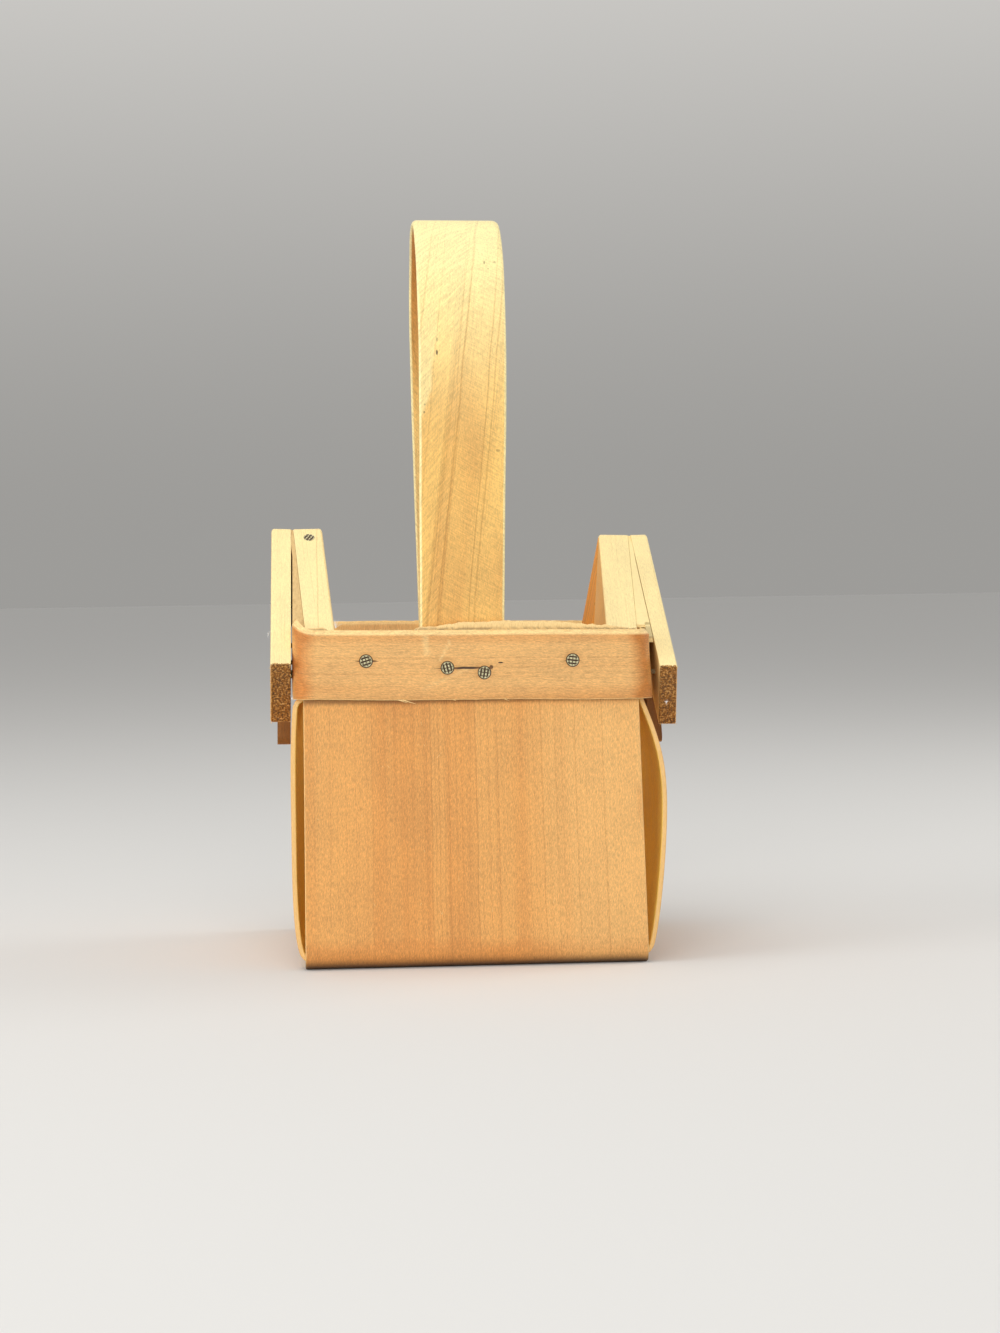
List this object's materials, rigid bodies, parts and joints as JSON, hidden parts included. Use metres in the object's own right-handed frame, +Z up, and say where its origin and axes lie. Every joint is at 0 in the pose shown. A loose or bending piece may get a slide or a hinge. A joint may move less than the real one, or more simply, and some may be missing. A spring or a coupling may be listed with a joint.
{
  "type": "wooden basket",
  "caption": "Small square veneer basket with a flat bentwood handle, a nailed hoop round its rim, and side walls that rise to low gables held between slats.",
  "frame": {"origin": "on the underside, below the middle of the bounding box", "axes": "+X to the right, +Y from the front wall to the back wall, +Z up"},
  "size_m": [0.1342, 0.1188, 0.2503],
  "materials": {
    "wall_veneer": "smooth bare veneer",
    "hoop_veneer": "bare veneer with a rough top edge",
    "bentwood": "sanded bare wood",
    "slat_wood": "planed bare wood with rough sawn ends",
    "nail_steel": "dull bare steel"
  },
  "bodies": {
    "root": {"front_back_strip": "wall_veneer", "side_strip": "wall_veneer", "rim_band": "hoop_veneer", "handle": "bentwood", "outer_rafter_left_front": "slat_wood", "inner_rafter_left_front": "slat_wood", "outer_rafter_left_back": "slat_wood", "inner_rafter_left_back": "slat_wood", "centre_post_left": "slat_wood", "outer_rafter_right_front": "slat_wood", "inner_rafter_right_front": "slat_wood", "outer_rafter_right_back": "slat_wood", "inner_rafter_right_back": "slat_wood", "centre_post_right": "slat_wood", "band_nail_front_1": "nail_steel", "band_nail_front_2": "nail_steel", "handle_nail_front_1": "nail_steel", "handle_nail_front_2": "nail_steel", "band_nail_back_1": "nail_steel", "band_nail_back_2": "nail_steel", "handle_nail_back_1": "nail_steel", "handle_nail_back_2": "nail_steel", "rafter_nail_left_front_1": "nail_steel", "rafter_nail_left_front_2": "nail_steel", "rafter_nail_left_back_1": "nail_steel", "rafter_nail_left_back_2": "nail_steel", "peak_nail_left": "nail_steel", "post_nail_left_1": "nail_steel", "post_nail_left_2": "nail_steel", "rafter_nail_right_front_1": "nail_steel", "rafter_nail_right_front_2": "nail_steel", "rafter_nail_right_back_1": "nail_steel", "rafter_nail_right_back_2": "nail_steel", "peak_nail_right": "nail_steel", "post_nail_right_1": "nail_steel", "post_nail_right_2": "nail_steel"}
  },
  "joints": []
}
